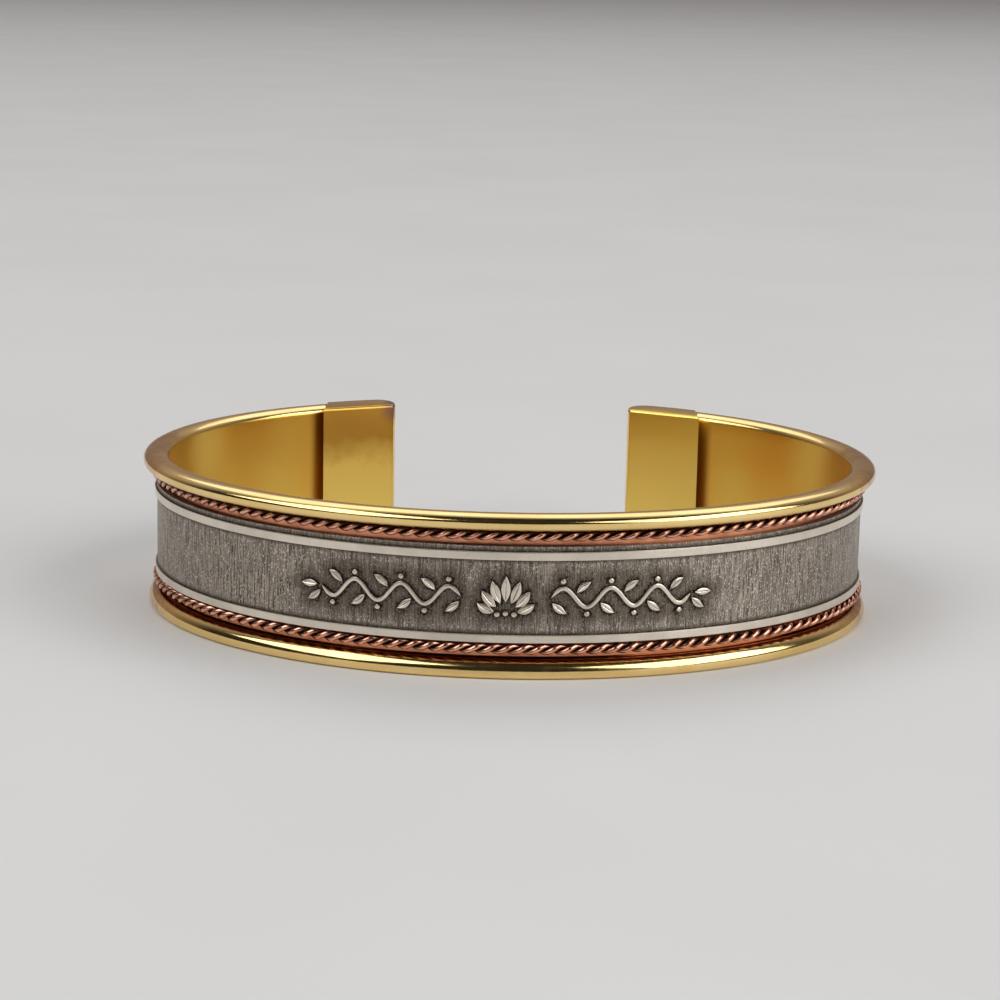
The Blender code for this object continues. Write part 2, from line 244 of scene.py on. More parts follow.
def cap_outline():
    """Gives the right cap from above: curved outside, flat inside, both ends cut along Y."""
    outside = []
    curved = CAP_X - TIP_X - CAP_TIP_OUTER_ROUND
    for step in range(9):
        outside.append(wall_point(CAP_X - curved * step / 12, TOP_RIM_STAND))
    wall_at_step = wall_point(CAP_X, INSIDE)
    wall_at_tip = wall_point(TIP_X, INSIDE)
    slope = math.atan2(wall_at_tip[1] - wall_at_step[1], CAP_X - TIP_X)
    drop = CAP_STEP / math.cos(slope)
    step_inner = (CAP_X, wall_at_step[1] - drop)
    tip_inner = (TIP_X, wall_at_tip[1] - drop)
    tip_outer = (TIP_X, wall_point(TIP_X, TOP_RIM_STAND)[1])
    outline = list(outside)
    outline += round_corner(outside[-1], tip_outer, tip_inner, CAP_TIP_OUTER_ROUND)
    outline += round_corner(tip_outer, tip_inner, step_inner, CAP_TIP_INNER_ROUND)
    outline.append(step_inner)
    return outline


# The oval's centre in the frame, from the back of the caps
CENTRE_Y = CAP_HIGH.y - max(y for _, y in cap_outline())


def arc(centre, radius, start, end, steps=9):
    """Gives points on an arc of a section, with its angles in degrees."""
    angles = np.radians(np.linspace(start, end, steps + 1))
    return [(centre[0] + radius * math.cos(a), centre[1] + radius * math.sin(a)) for a in angles]


def oval_arc(centre, across, upright, start, end, steps=14):
    """Gives points on a quarter of an oval of a section, with its angles in degrees."""
    angles = np.radians(np.linspace(start, end, steps + 1))
    return [
        (centre[0] + across * math.cos(a), centre[1] + upright * math.sin(a)) for a in angles
    ]


def line(start, end, steps):
    """Gives the points strictly between two points of a section."""
    shares = [step / steps for step in range(1, steps)]
    return [
        (start[0] + (end[0] - start[0]) * s, start[1] + (end[1] - start[1]) * s) for s in shares
    ]


def grid_faces(rows, columns, first=0, closed=True):
    """Gives the quads of a grid of vertices, with its two end rows closed by single faces."""
    faces = []
    last = columns if closed else columns - 1
    for row in range(rows - 1):
        base = first + row * columns
        for column in range(last):
            after = (column + 1) % columns
            faces.append(
                (base + column, base + after, base + columns + after, base + columns + column)
            )
    if closed:
        faces.append(tuple(first + index for index in reversed(range(columns))))
        faces.append(tuple(first + (rows - 1) * columns + index for index in range(columns)))
    return faces


def add_piece(name, points, faces, node, material, sharp=38.0, values=None):
    """Makes one piece of the part from its points and faces, in place of a CAD node."""
    points = np.array(points, float).reshape(-1, 3)
    points[:, 1] += CENTRE_Y
    data = bpy.data.meshes.new(name)
    data.from_pydata(points.tolist(), [], faces)
    data.validate()
    for key, numbers in (values or {}).items():
        layer = data.attributes.new(key, "FLOAT", "POINT")
        layer.data.foreach_set("value", np.array(numbers, np.float32))
    data.materials.append(material)
    data.shade_smooth()
    data.set_sharp_from_angle(angle=math.radians(sharp))
    item = bpy.data.objects.new(name, data)
    bpy.context.scene.collection.objects.link(item)
    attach(item, "root")
    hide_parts(node)


def even_shares(count):
    """Gives places along the band from -1 to 1 that lie at even lengths."""
    end = back_angle(BAND_END_X, 0.0)
    angles, lengths = length_table(0.0, end)
    wanted = np.linspace(lengths[0], lengths[-1], count)
    return np.interp(wanted, lengths, angles) / end


def sweep_points(section, shares):
    """Runs a section of (offset, height) points along the oval, cut square at both ends."""
    points = np.zeros((len(shares), len(section), 3))
    for column, (offset, height) in enumerate(section):
        x, y = plan_point(shares * back_angle(BAND_END_X, offset), offset)
        points[:, column, 0] = x
        points[:, column, 1] = y
        points[:, column, 2] = height
    return points


def band_section():
    """Gives the channel's section: both rims, the wall between them and its plain inside."""
    low = BOTTOM_RIM_OUTER_ROUND
    high = BOTTOM_RIM_UPPER_ROUND
    under = TOP_RIM_UNDER_ROUND
    over = TOP_RIM_OUTER_ROUND
    crown = TOP_RIM_STAND - TOP_RIM_CROWN_PLACE
    behind = TOP_RIM_INNER_ROUND
    inner = INNER_EDGE_ROUND
    points = arc((BOTTOM_RIM_STAND - low, low), low, -90, 0)
    points += arc((BOTTOM_RIM_STAND - high, BOTTOM_RIM_HEIGHT - high), high, 0, 90, 14)
    points += [(WALL_FACE, BOTTOM_RIM_HEIGHT), (WALL_FACE, GROOVE_TOP)]
    points += arc((TOP_RIM_STAND - under, GROOVE_TOP + under), under, -90, 0)
    points += oval_arc((crown, CUFF_HEIGHT - over), TOP_RIM_CROWN_PLACE, over, 0, 90, 18)
    points += oval_arc((crown, CUFF_HEIGHT - behind), crown - INSIDE, behind, 90, 180, 14)[1:]
    points += line((INSIDE, CUFF_HEIGHT - behind), (INSIDE, inner), 12)
    points += arc((INSIDE + inner, inner), inner, 180, 270)
    return points


def make_band(material):
    """Makes the brass channel."""
    section = band_section()
    points = sweep_points(section, even_shares(BAND_STATIONS))
    faces = grid_faces(len(points), len(section))
    within = [1.0 if offset < INSIDE + 0.05 * MM else 0.0 for offset, _ in section]
    # Painted shade: the channel's surfaces between the rims are darkened more the closer they lie to
    # the wall.
    corner = []
    for offset, height in section:
        near = (0.3 * MM - offset) / (0.45 * MM)
        low = BOTTOM_RIM_HEIGHT - 0.6 * MM < height < GROOVE_TOP + 0.1 * MM
        corner.append(min(max(near, 0.0), 1.0) if low and offset > WALL_FACE - 0.01 * MM else 0.0)
    values = {"inside": np.tile(within, len(points)), "corner": np.tile(corner, len(points))}
    add_piece("brass_band_detail", points, faces, "brass_band", material, values=values)


def make_copper_strip(material):
    """Makes the flat copper strip in the channel."""
    low = BOTTOM_RIM_HEIGHT + CLEARANCE
    high = GROOVE_TOP - CLEARANCE
    edge = 0.05 * MM
    section = [(COPPER_BACK, low), (COPPER_FACE - edge, low), (COPPER_FACE, low + edge)]
    section += line((COPPER_FACE, low + edge), (COPPER_FACE, high - edge), 12)
    section += [(COPPER_FACE, high - edge), (COPPER_FACE - edge, high), (COPPER_BACK, high)]
    points = sweep_points(section, even_shares(BAND_STATIONS))
    faces = grid_faces(len(points), len(section))
    add_piece("copper_strip_detail", points, faces, "copper_strip", material)


def inward(outline):
    """Gives for each point of a closed outline how far it moves per unit of inset."""
    before = np.roll(outline, 1, axis=0) - outline
    after = np.roll(outline, -1, axis=0) - outline
    before /= np.linalg.norm(before, axis=1)[:, None]
    after /= np.linalg.norm(after, axis=1)[:, None]
    normal = np.stack([after[:, 1] - before[:, 1], before[:, 0] - after[:, 0]], axis=1)
    normal /= np.linalg.norm(normal, axis=1)[:, None]
    cosine = np.sqrt(np.clip((1 - (before * after).sum(1)) / 2, 0.3, 1.0))
    inset = -normal / cosine[:, None]
    middle = outline.mean(0)
    if ((outline + inset * MM - middle) ** 2).sum() > ((outline - middle) ** 2).sum():
        inset = -inset
    return inset


def cap_rings():
    """Gives the (inset, height) of each ring of a cap, with its lower and upper edges rounded."""
    radius = CAP_EDGE_ROUND
    lower = []
    for angle in np.radians(np.linspace(0, 90, 7)):
        lower.append((radius * (1 - math.sin(angle)), radius * (1 - math.cos(angle))))
    middle = [(0.0, CUFF_HEIGHT * share) for share in (0.25, 0.5, 0.75)]
    upper = [(shrink, CUFF_HEIGHT - height) for shrink, height in reversed(lower)]
    return lower + middle + upper


def make_cap(name, side, node, material):
    """Makes an end block with rounded upper and lower edges, mirrored for side -1."""
    outline = np.array(cap_outline())
    inset = inward(outline)
    rings = cap_rings()
    points = []
    for shrink, height in rings:
        moved = outline + inset * shrink
        for x, y in moved:
            points.append((side * x, y, height))
    faces = grid_faces(len(rings), len(outline))
    if side < 0:
        faces = [face[::-1] for face in faces]
    within = np.zeros(len(outline))
    within[-CAP_INNER_POINTS:] = 1.0
    values = {"inside": np.tile(within, len(rings)), "cap": np.ones(len(points))}
    add_piece(name, points, faces, node, material, values=values)


def make_rope(name, height, node, material, side_shade):
    """Makes a wire of two strands twisted round each other.

    The last argument sets how much painted shade darkens the upper side, or the lower side if it is
    negative.
    """
    end_x = BAND_END_X + ROPE_RADIUS
    angles, lengths = length_table(ROPE_OFFSET, back_angle(end_x, ROPE_OFFSET))
    count = round((lengths[-1] - lengths[0]) / ROPE_PITCH * STATIONS_PER_TWIST)
    stations = np.linspace(lengths[0], lengths[-1], count + 1)
    angle = np.interp(stations, lengths, angles)
    x, y = plan_point(angle, ROPE_OFFSET)
    across, along = outward(angle)
    out = np.stack([across, along, np.zeros_like(across)], axis=1)
    rise = np.array([0.0, 0.0, 1.0])
    axis = np.stack([x, y, np.full_like(x, height)], axis=1)
    strand = ROPE_RADIUS / 2
    turns = 2 * math.pi * np.arange(STRAND_SIDES) / STRAND_SIDES
    points = []
    faces = []
    crevice_shade = []
    for start in (0.0, math.pi):
        twist = 2 * math.pi * stations / ROPE_PITCH + start
        radial = np.cos(twist)[:, None] * out + np.sin(twist)[:, None] * rise
        centre = axis + strand * radial
        tangent = np.gradient(centre, axis=0)
        tangent /= np.linalg.norm(tangent, axis=1)[:, None]
        side = np.cross(tangent, radial)
        side /= np.linalg.norm(side, axis=1)[:, None]
        up = np.cross(side, tangent)
        first = len(points) * STRAND_SIDES
        for row in range(len(stations)):
            ring = []
            for turn in turns:
                ring.append(
                    centre[row] + strand * (math.cos(turn) * up[row] + math.sin(turn) * side[row])
                )
            points.append(ring)
            from_axis = np.linalg.norm(np.array(ring) - axis[row], axis=1)
            lift = (np.array(ring)[:, 2] - height) / ROPE_RADIUS
            # Painted shade: the amount grows down between the strands and on the side next to a rim.
            crevice_shade.append(1 - from_axis / ROPE_RADIUS + np.maximum(side_shade * lift - 0.25, 0.0))
        faces += grid_faces(len(stations), STRAND_SIDES, first)
    values = {"crevice_shade": np.array(crevice_shade).ravel()}
    add_piece(name, points, faces, node, material, sharp=80.0, values=values)


def ribbon(path, widths):
    """Describes a raised stroke: its path, its width at each point and its sideways direction."""
    path = np.array(path, float)
    direction = np.gradient(path, axis=0)
    direction /= np.linalg.norm(direction, axis=1)[:, None]
    side = np.stack([-direction[:, 1], direction[:, 0]], axis=1)
    return path, np.array(widths, float), side


def leaf(start, direction, length, width, curl=0.0, steps=16):
    """Gives a pointed leaf from start, with its direction in degrees and a bend to its tip."""
    path = [start]
    for step in range(steps):
        heading = math.radians(direction + curl * step / (steps - 1))
        x, y = path[-1]
        path.append((x + length / steps * math.cos(heading), y + length / steps * math.sin(heading)))
    shares = np.linspace(0, 1, steps + 1)
    return ribbon(path, width * np.maximum(np.sin(math.pi * shares), 0.0) ** 0.85)


def dot(centre):
    """Gives a small round dot."""
    radius = DOT_DIAMETER / 2
    turns = np.linspace(math.pi, 0, 11)
    path = [(centre[0] + radius * math.cos(turn), centre[1]) for turn in turns]
    return ribbon(path, 2 * radius * np.sin(turns))


def lotus():
    """Gives an open lotus of seven petals, with dots below it."""
    strokes = []
    base = -LOTUS_DROP
    for number in range(-3, 4):
        direction = 90 - PETAL_SPREAD * number
        angle = math.radians(direction)
        start = (LOTUS_HUB * math.cos(angle), base + LOTUS_HUB * math.sin(angle))
        length = PETAL_LENGTH * (1 - PETAL_SHORTENING * abs(number))
        strokes.append((leaf(start, direction, length, PETAL_WIDTH, PETAL_CURL * number), True))
    for place in (-1, 0, 1):
        centre = (place * 1.6 * DOT_DIAMETER, base - 0.2 * abs(place) * DOT_DIAMETER)
        strokes.append((dot(centre), False))
    return strokes


def vine(side):
    """Gives a waving stem with a leaf at each crossing and a dot in each bay, on one side."""
    strokes = []
    length = VINE_WAVES * VINE_WAVE_LENGTH
    steps = 40 * VINE_WAVES
    shares = np.linspace(0, 1, steps + 1)
    path = []
    for share in shares:
        turn = 2 * math.pi * VINE_WAVES * share
        path.append((side * (VINE_START + length * share), VINE_SWING * math.sin(turn)))
    ends = np.minimum(shares, 1 - shares) * length
    strokes.append((ribbon(path, VINE_STROKE * np.minimum(1.0, ends / (0.45 * MM)) ** 0.6), False))
    for number in range(2 * VINE_WAVES + 1):
        crossing = VINE_START + number * VINE_WAVE_LENGTH / 2
        swing = -1 if number % 2 == 0 else 1
        lift = LEAF_LEAN * swing
        angle = lift if side > 0 else 180 - lift
        start = (side * (crossing + 0.3 * LEAF_SPACE), swing * LEAF_SPACE)
        curl = -LEAF_CURL * swing * side
        strokes.append((leaf(start, angle, LEAF_LENGTH, LEAF_WIDTH, curl), True))
    for number in range(2 * VINE_WAVES):
        bay = VINE_START + (number + 0.5) * VINE_WAVE_LENGTH / 2
        swing = 1 if number % 2 == 0 else -1
        centre = (side * bay, swing * (VINE_SWING + VINE_STROKE + DOT_DIAMETER / 2))
        strokes.append((dot(centre), False))
    end = VINE_START + length + LEAF_SPACE
    strokes.append((leaf((side * end, 0.0), 0 if side > 0 else 180, LEAF_LENGTH, LEAF_WIDTH), True))
    return strokes


def stroke_profile(width, veined):
    """Gives the section of a raised stroke: (sideways, height over the field, polish) points."""
    half = max(width / 2, 0.004 * MM)
    edge = min(0.05 * MM, 0.5 * half)
    dip = 0.3 * FIELD_DEPTH * min(1.0, half / (0.25 * MM)) if veined else 0.0
    rib = 0.07 * MM * min(1.0, half / (0.25 * MM))
    left = [
        (-half - 0.3 * edge, -0.5 * FIELD_DEPTH, 0.0),
        (-half, 0.55 * FIELD_DEPTH, 0.1),
        (-half + 0.3 * edge, 0.85 * FIELD_DEPTH, 0.6),
        (-half + edge, 0.98 * FIELD_DEPTH, 1.0),
    ]
    if veined:
        left.append((-min(rib, 0.4 * half), FIELD_DEPTH, 1.0))
    middle = [(0.0, FIELD_DEPTH - dip, 0.55 if veined else 1.0)]
    right = [(-u, h, polish) for u, h, polish in reversed(left)]
    return left + middle + right


def stroke_mesh(stroke, veined, first, table):
    """Gives the points, faces and polish of one raised stroke on the strip."""
    path, widths, side = stroke
    angles, lengths = table
    points = []
    polish = []
    columns = 0
    for place, width, across in zip(path, widths, side):
        profile = stroke_profile(width, veined)
        columns = len(profile)
        for u, height, shine in profile:
            spot = place + u * across
            angle = float(np.interp(spot[0], lengths, angles))
            x, y = plan_point(angle, FIELD_FACE + height)
            points.append((float(x), float(y), FIELD_MIDDLE + spot[1]))
            polish.append(shine)
    return points, grid_faces(len(path), columns, first), polish


def distance_to_strokes(spots, strokes):
    """Gives for each (length, height) spot how far it lies outside the nearest stroke."""
    nearest = np.full(len(spots), 9.0)
    for (path, widths, _), _ in strokes:
        low = path.min(0) - 1.5 * MM
        high = path.max(0) + 1.5 * MM
        inside = np.all((spots > low) & (spots < high), axis=1)
        if not inside.any():
            continue
        chosen = spots[inside]
        gaps = np.hypot(
            chosen[:, None, 0] - path[None, :, 0], chosen[:, None, 1] - path[None, :, 1]
        )
        gaps = (gaps - widths[None, :] / 2).min(1)
        nearest[inside] = np.minimum(nearest[inside], gaps)
    return nearest


def silver_section():
    """Gives the strip's section with how polished each point is."""
    edge = BORDER_EDGE
    top = SILVER_TOP - TOP_MARGIN_HEIGHT
    low, high = SILVER_BOTTOM, SILVER_TOP
    points = [((SILVER_BACK, low), 0.2), ((-edge, low), 0.3), ((0.0, low + edge), 1.0)]
    points += [(p, 1.0) for p in line((0.0, low + edge), (0.0, FIELD_BOTTOM - 2 * edge), 5)]
    points += [((0.0, FIELD_BOTTOM - 2 * edge), 1.0), ((-0.4 * edge, FIELD_BOTTOM - edge), 0.5)]
    points += [((FIELD_FACE, FIELD_BOTTOM), 0.0)]
    start, end = (FIELD_FACE, FIELD_BOTTOM), (FIELD_FACE, FIELD_TOP)
    points += [(p, 0.0) for p in line(start, end, 52)]
    points += [((FIELD_FACE, FIELD_TOP), 0.0), ((-0.4 * edge, FIELD_TOP + edge), 0.5)]
    points += [((0.0, FIELD_TOP + 2 * edge), 1.0)]
    points += [(p, 1.0) for p in line((0.0, FIELD_TOP + 2 * edge), (0.0, top - 2 * edge), 5)]
    points += [((0.0, top - 2 * edge), 1.0), ((-0.4 * edge, top - edge), 0.5)]
    points += [((FIELD_FACE, top), 0.0)]
    points += [(p, 0.05) for p in line((FIELD_FACE, top), (FIELD_FACE, high - edge), 4)]
    points += [((FIELD_FACE, high - edge), 0.05), ((FIELD_FACE - edge, high), 0.1)]
    points += [((SILVER_BACK, high), 0.0)]
    return [p for p, _ in points], [shine for _, shine in points]


def strip_shares():
    """Gives places along the strip, close together where the ornament lies."""
    end = back_angle(BAND_END_X, 0.0)
    angles, lengths = length_table(0.0, end)
    middle = np.linspace(-ORNAMENT_REACH, ORNAMENT_REACH, ORNAMENT_STATIONS)
    outer = np.linspace(ORNAMENT_REACH, lengths[-1], OUTER_STATIONS)[1:]
    wanted = np.concatenate([-outer[::-1], middle, outer])
    return np.interp(wanted, lengths, angles) / end


def strip_halo(shares, section, shine, strokes):
    """Gives how close each point of the strip's field lies to a stroke or to a border."""
    angles, lengths = length_table(0.0, back_angle(BAND_END_X, 0.0))
    along = np.interp(shares * angles[-1], angles, lengths)
    heights = np.array(section)[:, 1]
    shape = (len(along), len(heights))
    across = np.broadcast_to(along[:, None], shape)
    upright = np.broadcast_to(heights - FIELD_MIDDLE, shape)
    spots = np.stack([across, upright], axis=-1).reshape(-1, 2)
    gap = distance_to_strokes(spots, strokes).reshape(shape)
    halo = np.clip(1 - np.maximum(gap, 0.0) / HALO_WIDTH, 0.0, 1.0)
    to_border = np.minimum(abs(heights - FIELD_BOTTOM), abs(heights - FIELD_TOP))
    to_border = np.minimum(to_border, abs(heights - (SILVER_TOP - TOP_MARGIN_HEIGHT)))
    halo = np.maximum(halo, np.clip(1 - to_border / OUTLINE_WIDTH, 0.0, 0.9)[None, :])
    return halo * (np.array(shine)[None, :] < 0.06)


def make_silver_strip(material):
    """Makes the patterned strip with its borders and its raised ornament."""
    section, shine = silver_section()
    shares = strip_shares()
    points = sweep_points(section, shares)
    strokes = lotus() + vine(-1) + vine(1)
    halo = strip_halo(shares, section, shine, strokes)
    faces = grid_faces(len(points), len(section))
    all_points = points.reshape(-1, 3).tolist()
    all_polish = np.tile(shine, len(points)).tolist()
    all_halo = halo.ravel().tolist()
    table = length_table(0.0, math.pi / 2)
    for stroke, veined in strokes:
        extra, more_faces, more_polish = stroke_mesh(stroke, veined, len(all_points), table)
        all_points += extra
        faces += more_faces
        all_polish += more_polish
        all_halo += [1.0] * len(extra)
    values = {"polish": all_polish, "halo": all_halo}
    add_piece(
        "silver_strip_detail",
        all_points,
        faces,
        "silver_strip",
        material,
        values=values,
    )


class Sheet:
    """The node tree of a material or world, with short calls to add nodes."""

    def __init__(self, owner):
        self.owner = owner
        owner.use_nodes = True
        self.nodes = owner.node_tree.nodes
        self.links = owner.node_tree.links

    def add(self, kind, **settings):
        """Adds a node and sets its properties."""
        node = self.nodes.new(kind)
        for key, value in settings.items():
            setattr(node, key, value)
        return node

    def put(self, value, socket):
        """Sets a socket's number or links another socket to it."""
        if isinstance(value, bpy.types.NodeSocket):
            self.links.new(value, socket)
        else:
            socket.default_value = value

    def place(self):
        """Gives object coordinates in millimetres."""
        coords = self.add("ShaderNodeTexCoord")
        scale = self.add("ShaderNodeVectorMath", operation="SCALE")
        self.links.new(coords.outputs["Object"], scale.inputs[0])
        scale.inputs["Scale"].default_value = 1000.0
        return scale.outputs[0]

    def attribute(self, name):
        """Reads a value stored on the mesh."""
        return self.add("ShaderNodeAttribute", attribute_name=name).outputs["Fac"]

    def along(self, vector, axis):
        """Gives one coordinate of a vector."""
        node = self.add("ShaderNodeSeparateXYZ")
        self.links.new(vector, node.inputs[0])
        return node.outputs[axis]

    def flip(self, value):
        """Gives one minus a value."""
        return self.math("SUBTRACT", 1.0, value)

    def stretch(self, vector, factors):
        """Scales a vector along each axis."""
        node = self.add("ShaderNodeVectorMath", operation="MULTIPLY")
        self.links.new(vector, node.inputs[0])
        node.inputs[1].default_value = factors
        return node.outputs[0]

    def noise(self, vector, scale, detail=3.0, roughness=0.55, distortion=0.0):
        """Adds a noise texture and gives its value."""
        node = self.add("ShaderNodeTexNoise")
        self.links.new(vector, node.inputs["Vector"])
        node.inputs["Scale"].default_value = scale
        node.inputs["Detail"].default_value = detail
        node.inputs["Roughness"].default_value = roughness
        node.inputs["Distortion"].default_value = distortion
        return node.outputs["Fac"]

    def spots(self, vector, scale):
        """Adds a cell texture and gives the distance to the nearest centre."""
        node = self.add("ShaderNodeTexVoronoi")
        self.links.new(vector, node.inputs["Vector"])
        node.inputs["Scale"].default_value = scale
        return node.outputs["Distance"]

    def span(self, value, low, high, out_low=0.0, out_high=1.0):
        """Maps a value from one range to another and holds it inside."""
        node = self.add("ShaderNodeMapRange", clamp=True)
        self.put(value, node.inputs["Value"])
        node.inputs["From Min"].default_value = low
        node.inputs["From Max"].default_value = high
        node.inputs["To Min"].default_value = out_low
        node.inputs["To Max"].default_value = out_high
        return node.outputs["Result"]

    def math(self, operation, first, second=0.0):
        """Combines two values."""
        node = self.add("ShaderNodeMath", operation=operation)
        self.put(first, node.inputs[0])
        self.put(second, node.inputs[1])
        return node.outputs[0]

    def mix(self, factor, first, second):
        """Mixes two colours."""
        node = self.add("ShaderNodeMix", data_type="RGBA")
        self.put(factor, node.inputs["Factor"])
        for value, name in ((first, "A"), (second, "B")):
            socket = [s for s in node.inputs if s.name == name and s.type == "RGBA"][0]
            if isinstance(value, tuple) and len(value) == 3:
                value = (*value, 1.0)
            self.put(value, socket)
        return [s for s in node.outputs if s.type == "RGBA"][0]

    def bump(self, height, distance, strength=1.0, normal=None):
        """Turns a height in the range 0 to 1 into a bumped normal."""
        node = self.add("ShaderNodeBump")
        node.inputs["Strength"].default_value = strength
        node.inputs["Distance"].default_value = distance
        self.put(height, node.inputs["Height"])
        if normal is not None:
            self.links.new(normal, node.inputs["Normal"])
        return node.outputs["Normal"]

    def finish(self, colour, roughness, normal):
        """Links the results to the shader and gives the material."""
        shader = self.nodes["Principled BSDF"]
        self.put(colour, shader.inputs["Base Color"])
        self.put(roughness, shader.inputs["Roughness"])
        self.links.new(normal, shader.inputs["Normal"])
        shader.inputs["Metallic"].default_value = 1.0
        return self.owner


def step_shade(sheet, place, sideways, within):
    """Gives how dark the inside is in the corner where the wall meets an end cap."""
    start = CAP_X / MM
    near = sheet.span(sideways, start + 0.3, start + 1.4, 0.9, 0.0)
    past = sheet.math("GREATER_THAN", sideways, start)
    behind = sheet.math("GREATER_THAN", sheet.along(place, "Y"), 0.0)
    shade = sheet.math("MULTIPLY", sheet.math("MULTIPLY", near, past), behind)
    return sheet.math("MULTIPLY", shade, within)


def cap_painted_reflection(sheet, place, cloud):
    """Gives a painted reflection: how brown the upper part of the left end cap's inside is painted.
    """
    left = sheet.math("LESS_THAN", sheet.along(place, "X"), 0.0)
    rise = sheet.math("ADD", sheet.along(place, "Z"), sheet.span(cloud, 0.3, 0.7, -1.2, 1.2))
    middle = 0.64 * CUFF_HEIGHT / MM
    return sheet.math("MULTIPLY", left, sheet.span(rise, middle - 1.2, middle + 1.6, 0.0, 0.85))


def tip_stain(sheet, place, ragged):
    """Gives how strongly the upper corner at the tip of the left end cap is stained."""
    sideways = sheet.along(place, "X")
    edge = -TIP_X / MM
    upper = CUFF_HEIGHT / MM
    across = sheet.span(sideways, edge - 1.5, edge - 0.5, 0.0, 0.8)
    left = sheet.math("LESS_THAN", sideways, 0.0)
    behind = sheet.math("GREATER_THAN", sheet.along(place, "Y"), 0.0)
    rise = sheet.math("ADD", sheet.along(place, "Z"), sheet.span(ragged, 0.3, 0.7, -0.5, 0.5))
    high = sheet.span(rise, upper - 1.9, upper - 1.0)
    stain = sheet.math("MULTIPLY", sheet.math("MULTIPLY", across, left), behind)
    return sheet.math("MULTIPLY", stain, high)


def brass_colour(sheet, place, within, haze, stain):
    """Colours brass: yellow rims with stains, ends browned by tarnish and a painted reflection, a
    warmer inside that is partly painted reflection, painted shade where the wall meets a cap, a
    painted brown reflection on the upper left cap, and a stain at its tip.
    """
    rim = sheet.mix(sheet.span(haze, 0.38, 0.62), BRASS_RIM, BRASS_RIM_WARM)
    patch = sheet.span(sheet.noise(place, 0.13, 1.0, 0.4), 0.25, 0.75)
    # The inside is warmer and darker than the rims, partly as a painted brass-tinted reflection.
    wall = sheet.mix(patch, BRASS_WALL, BRASS_WALL_WARM)
    # Painted reflection: the upper part of the left cap's inside is painted brown.
    face = sheet.mix(cap_painted_reflection(sheet, place, haze), BRASS_CAP, BRASS_CAP_PAINTED_REFLECTION)
    wall = sheet.mix(sheet.attribute("cap"), wall, face)
    colour = sheet.mix(within, rim, wall)
    stained = sheet.math("MULTIPLY", sheet.span(stain, 0.6, 0.8, 0.0, 0.35), sheet.flip(within))
    colour = sheet.mix(stained, colour, BRASS_STAIN)
    sideways = sheet.math("ABSOLUTE", sheet.along(place, "X"))
    # Tarnish towards both ends of the outside, which also stands in as a painted reflection of the
    # brown surroundings there.
    toward_end = sheet.math("ADD", sideways, sheet.span(stain, 0.3, 0.7, -1.3, 1.3))
    tarnish = sheet.math("MULTIPLY", sheet.span(toward_end, 30.0, 33.2, 0.0, 0.85), sheet.flip(within))
    colour = sheet.mix(tarnish, colour, BRASS_END_TARNISH_AND_REFLECTION)
    colour = sheet.mix(step_shade(sheet, place, sideways, within), colour, BRASS_CORNER)
    return sheet.mix(tip_stain(sheet, place, stain), colour, BRASS_TIP)


def brass_roughness(sheet, within, haze, stain):
    """Gives brass a polish that is duller where it is hazy or stained, and a satin inside."""
    polish = sheet.math(
        "ADD", sheet.span(haze, 0.3, 0.75, 0.09, 0.17), sheet.span(stain, 0.5, 0.8, 0.0, 0.09)
    )
    polish = sheet.math("MULTIPLY", polish, sheet.flip(within))
    satin = sheet.math("MULTIPLY", sheet.span(haze, 0.25, 0.75, 0.285, 0.34), within)
    return sheet.math("ADD", polish, satin)


def brass_pits(sheet, place, within):
    """Gives where the rims have small pits."""
    size = sheet.span(sheet.noise(place, 3.1), 0.5, 0.75, 0.0, 0.1)
    pit = sheet.math("LESS_THAN", sheet.spots(place, 1.1), size)
    return sheet.math("MULTIPLY", pit, sheet.flip(within))


def brass_material():
    """Brass: polished rims with grain, pits and stains, a warmer satin inside, and painted shade in
    the channel and where the wall meets a cap.
    """
    sheet = Sheet(bpy.data.materials.new("polished_brass"))
    place = sheet.place()
    within = sheet.attribute("inside")
    haze = sheet.noise(place, 0.22, 4.0)
    stain = sheet.noise(place, 0.55, 5.0, 0.65, 0.6)
    pit = brass_pits(sheet, place, within)
    colour = brass_colour(sheet, place, within, haze, stain)
    colour = sheet.mix(sheet.math("MULTIPLY", pit, 0.75), colour, BRASS_PIT)
    # Painted shade darkens the channel next to the wall.
    groove_shade = sheet.math("MULTIPLY", sheet.attribute("corner"), 0.85)
    colour = sheet.mix(groove_shade, colour, BRASS_GROOVE_SHADE)
    roughness = brass_roughness(sheet, within, haze, stain)
    grain = sheet.noise(sheet.stretch(place, (0.6, 0.6, 4.0)), 1.6, 2.0, 0.5)
    normal = sheet.bump(grain, 0.004 * MM, 0.5)
    normal = sheet.bump(sheet.noise(place, 0.5, 1.0), 0.02 * MM, 0.25, normal)
    normal = sheet.bump(sheet.flip(pit), 0.03 * MM, 0.8, normal)
    return sheet.finish(colour, roughness, normal)


def copper_material():
    """Flat copper with brown tarnish."""
    sheet = Sheet(bpy.data.materials.new("copper_sheet"))
    place = sheet.place()
    tarnish = sheet.noise(place, 0.7, 5.0, 0.6, 0.4)
    grain = sheet.noise(sheet.stretch(place, (1.0, 1.0, 10.0)), 2.5, 4.0)
    colour = sheet.mix(sheet.span(tarnish, 0.35, 0.7), COPPER_BRIGHT, COPPER_BROWN)
    roughness = sheet.span(tarnish, 0.3, 0.75, 0.28, 0.38)
    normal = sheet.bump(grain, 0.008 * MM, 0.6)
    return sheet.finish(colour, roughness, normal)


